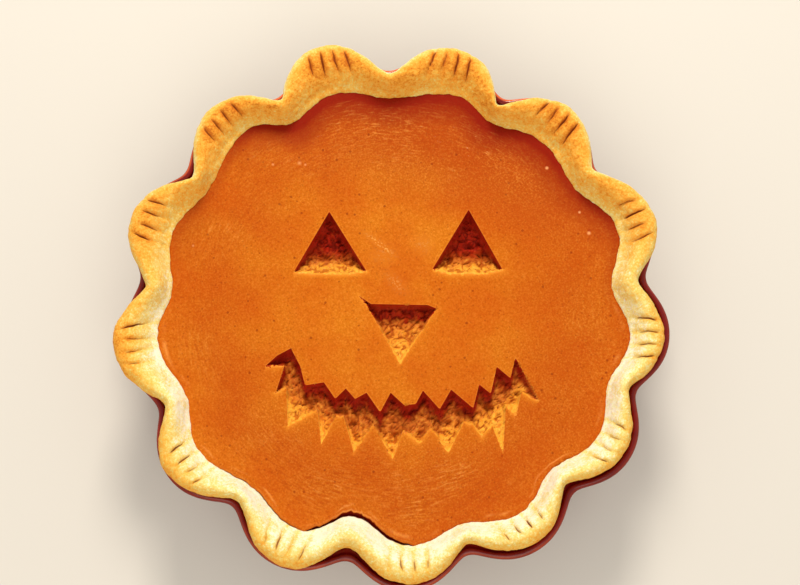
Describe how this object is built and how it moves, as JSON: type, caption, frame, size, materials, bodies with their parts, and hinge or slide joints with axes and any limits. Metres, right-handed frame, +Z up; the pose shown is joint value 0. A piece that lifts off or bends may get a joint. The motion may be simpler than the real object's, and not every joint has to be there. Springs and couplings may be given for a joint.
{
  "type": "pumpkin pie in a dish",
  "caption": "Round pumpkin pie with a fluted, fork-pressed pastry rim and a face carved into its custard, in a ruffled glazed stoneware pie dish.",
  "frame": {"origin": "on the surface that the dish stands on, under the middle of the whole pie", "axes": "+Z up; -Y towards the foot of the carved face, +X to the right of someone who looks at the face the right way up"},
  "size_m": [0.2682, 0.267, 0.0606],
  "materials": {
    "glazed_stoneware": "gloss",
    "baked_pastry": "matte",
    "pumpkin_custard": "satin"
  },
  "bodies": {
    "root": {"dish": "glazed_stoneware", "crust": "baked_pastry", "filling": "pumpkin_custard"}
  },
  "joints": []
}
